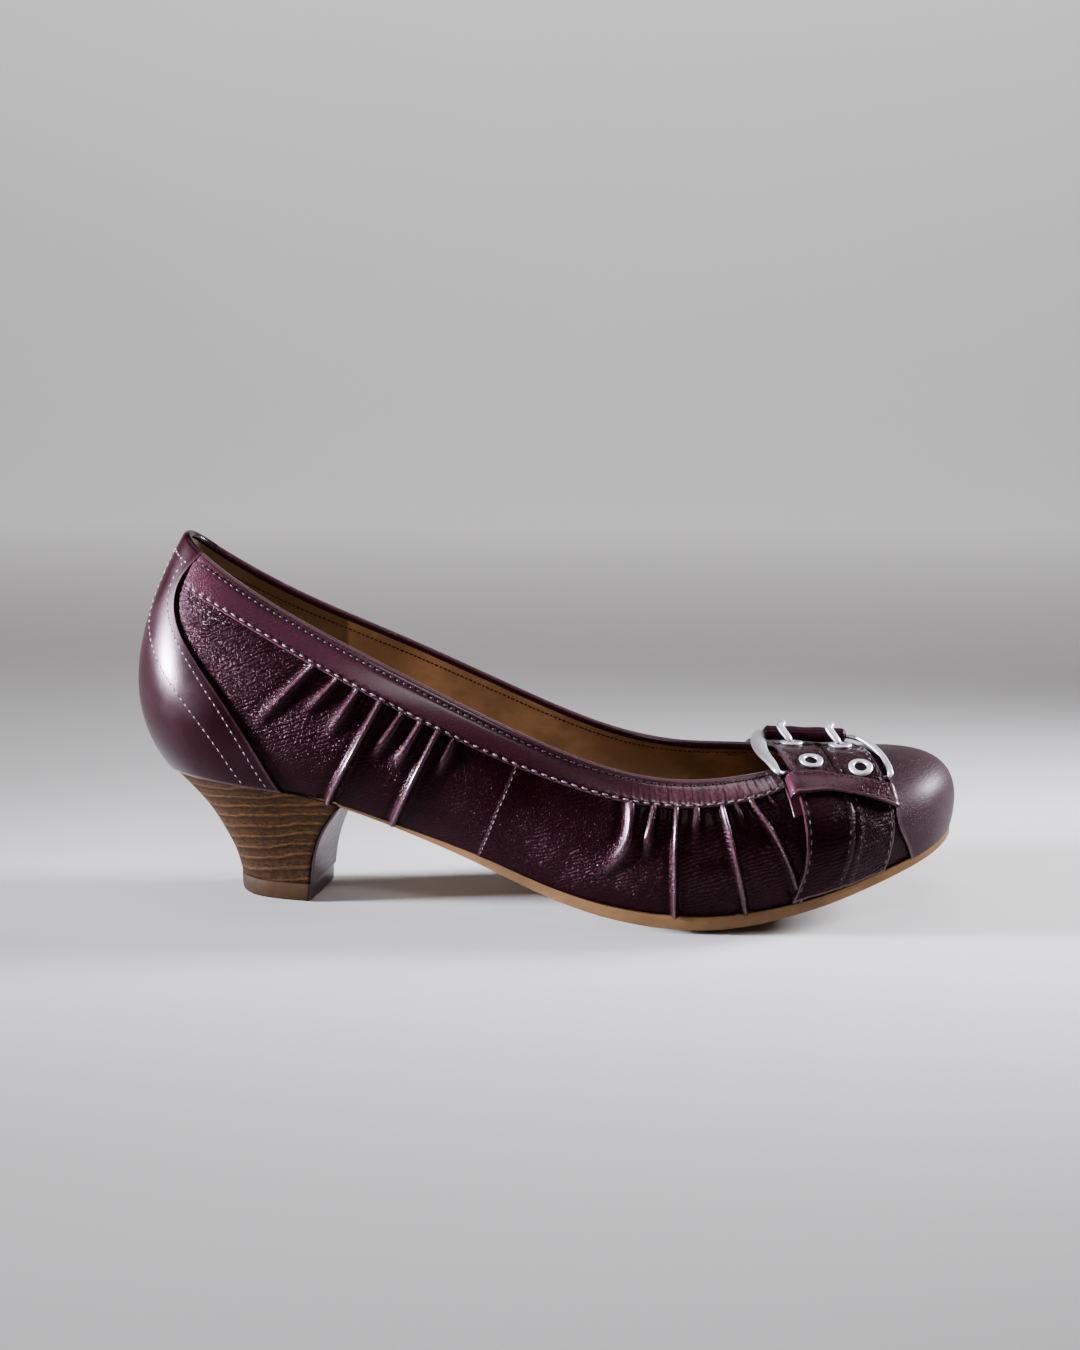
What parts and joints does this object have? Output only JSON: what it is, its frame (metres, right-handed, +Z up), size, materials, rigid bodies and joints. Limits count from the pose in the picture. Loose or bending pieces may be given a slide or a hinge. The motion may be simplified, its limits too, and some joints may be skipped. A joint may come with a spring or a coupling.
{
  "type": "low heel pump",
  "caption": "Right low heel pump with a stacked heel, round toe, counter, stitched collar band, gathered quarters and a broad strap with a pewter buckle across the vamp.",
  "frame": {"origin": "on the floor, at the middle of the shoe's box in plan", "axes": "+X to the toe, +Y to the inner (medial) side, +Z up"},
  "size_m": [0.2474, 0.0784, 0.1087],
  "materials": {
    "plum_leather": "soft plum leather with a cool satin sheen",
    "band_leather": "smooth plum leather, stitched",
    "tan_sole": "tan sole leather, matt",
    "stacked_leather": "stacked leather with fine layers",
    "breast_cover": "dark mauve cover, satin",
    "lining_leather": "tan lining leather, matt",
    "pewter": "pewter, softly polished"
  },
  "bodies": {
    "root": {"upper": "plum_leather", "toe_cap": "plum_leather", "counter": "plum_leather", "strap": "plum_leather", "collar_band_lateral": "band_leather", "collar_band_medial": "band_leather", "keeper": "band_leather", "bar_sleeve": "band_leather", "outsole": "tan_sole", "top_lift": "tan_sole", "heel": "stacked_leather", "heel_breast": "breast_cover", "insole": "lining_leather", "buckle_frame": "pewter", "prong_rear": "pewter", "prong_front": "pewter", "eyelet_rear": "pewter", "eyelet_front": "pewter", "eyelet_prong_rear": "pewter", "eyelet_prong_front": "pewter"}
  },
  "joints": []
}
